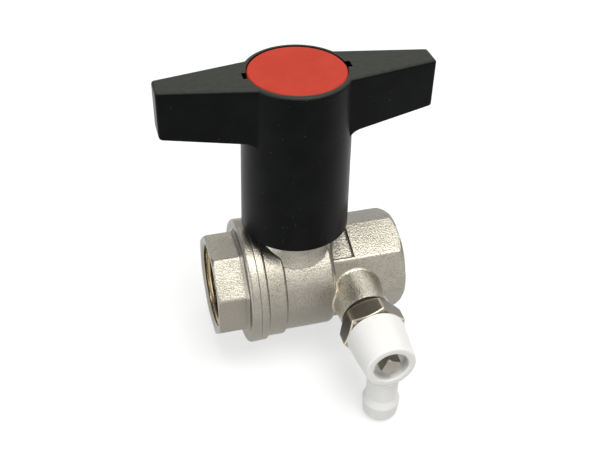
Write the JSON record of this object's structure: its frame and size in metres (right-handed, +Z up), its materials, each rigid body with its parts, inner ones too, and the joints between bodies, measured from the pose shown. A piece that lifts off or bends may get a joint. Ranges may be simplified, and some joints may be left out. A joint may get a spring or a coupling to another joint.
{
  "type": "drain ball valve",
  "caption": "Quarter-turn ball valve with female pipe threads at both ends, tall T-handle and a side drain with swivelling hose nozzle.",
  "frame": {"origin": "centre of the mouth face of port A, the screwed-in end connector", "axes": "+X along the pipe from port A to port B, +Z up the stem towards the handle, -Y out of the drain"},
  "size_m": [0.0794, 0.0682, 0.097],
  "materials": {
    "forged_nickel_plate": "nickel-plated over a shot-blasted forging",
    "bright_nickel_plate": "nickel-plated, turned",
    "spindle_nickel": "nickel-plated, milled",
    "turned_brass": "bare, turned",
    "polished_ball": "chromed and polished",
    "steel": "zinc-plated",
    "black_plastic": "moulded, fine matt",
    "red_plastic": "moulded, matt",
    "white_plastic": "moulded, satin",
    "white_seat": "turned, waxy",
    "seal_rubber": "moulded",
    "dark_gasket": "pressed fibre and rubber"
  },
  "bodies": {
    "valve": {"valve_body": "forged_nickel_plate", "end_connector": "forged_nickel_plate", "connector_o_ring": "seal_rubber", "ball_seat_a": "white_seat", "ball_seat_b": "white_seat", "stem_thrust_washer": "white_seat", "drain_insert": "bright_nickel_plate", "drain_gasket": "dark_gasket", "spout_o_ring": "seal_rubber", "spout_snap_ring": "steel"},
    "handle_and_ball": {"handle": "black_plastic", "handle_cap": "red_plastic", "handle_screw": "steel", "handle_washer": "steel", "stem": "turned_brass", "stem_o_ring_lower": "seal_rubber", "stem_o_ring_upper": "seal_rubber", "ball": "polished_ball"},
    "spout": {"drain_spout": "white_plastic", "spindle_o_ring": "seal_rubber"},
    "seal_slide": {"drain_seal": "seal_rubber", "drain_seal_holder": "turned_brass"},
    "spindle": {"drain_spindle": "spindle_nickel"}
  },
  "joints": [
    {"name": "handle_turn", "type": "hinge", "parent": "valve", "child": "handle_and_ball", "pos_m": [0.0276, 0, 0.03], "axis": [0, 0, -1], "range_deg": [0, 90]},
    {"name": "spout_swivel", "type": "hinge", "parent": "valve", "child": "spout", "pos_m": [0.0441, -0.037, 0], "axis": [0, -1, 0], "continuous": true},
    {"name": "drain_seal_lift", "type": "slide", "parent": "valve", "child": "seal_slide", "axis": [0, -1, 0], "range_m": [0, 0.002]},
    {"name": "drain_spindle_turn", "type": "hinge", "parent": "seal_slide", "child": "spindle", "pos_m": [0.0441, -0.035, 0], "axis": [0, -1, 0], "range_deg": [0, 720]}
  ],
  "couplings": [
    {"joint": "drain_seal_lift", "follows": "drain_spindle_turn", "m_per_rad": 0.00015915}
  ]
}
